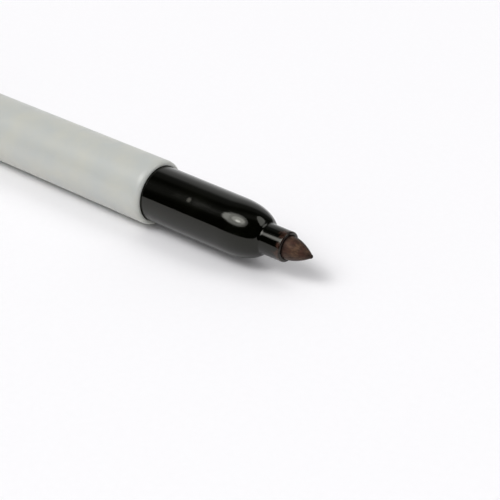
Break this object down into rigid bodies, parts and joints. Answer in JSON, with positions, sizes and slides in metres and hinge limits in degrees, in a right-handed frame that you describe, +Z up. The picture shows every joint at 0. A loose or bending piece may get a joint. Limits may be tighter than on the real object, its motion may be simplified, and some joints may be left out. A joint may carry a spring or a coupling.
{
  "type": "twin-tip permanent marker",
  "caption": "Twin-tip permanent marker lying on its side, bullet tip bare, with both caps stacked on the ultra-fine end. Both caps pull off.",
  "frame": {"origin": "on the surface the marker lies on, under the middle of its bounding box", "axes": "+X along the marker towards the bare bullet tip, +Z up, +Y towards the side the cap's clip rests on"},
  "size_m": [0.1558, 0.0144, 0.012],
  "materials": {
    "barrel_plastic": "light warm grey moulded polypropylene, satin",
    "black_plastic": "black moulded polypropylene, polished",
    "inked_fibre": "bonded polyester fibre soaked in black ink, dark brown with a bronze sheen",
    "inked_core": "bonded fibre rod soaked in black ink",
    "reservoir_film": "thin clear film, drawn tight",
    "inked_point": "extruded acetal point, stained with black ink",
    "seal_plastic": "soft natural polyethylene"
  },
  "bodies": {
    "marker": {"barrel": "barrel_plastic", "bullet_section": "black_plastic", "bullet_nib": "inked_fibre", "reservoir_core": "inked_core", "reservoir_film": "reservoir_film", "ultra_fine_section": "black_plastic", "ultra_fine_nib": "inked_point"},
    "small_cap": {"ultra_fine_cap": "black_plastic", "ultra_fine_cap_seal": "seal_plastic"},
    "large_cap": {"bullet_cap": "black_plastic", "bullet_cap_seal": "seal_plastic"}
  },
  "joints": [
    {"name": "small_cap_pull", "type": "slide", "parent": "marker", "child": "small_cap", "axis": [-1, 0, 0], "range_m": [0, 0.032]},
    {"name": "large_cap_pull", "type": "slide", "parent": "small_cap", "child": "large_cap", "axis": [-1, 0, 0], "range_m": [0, 0.025]}
  ]
}
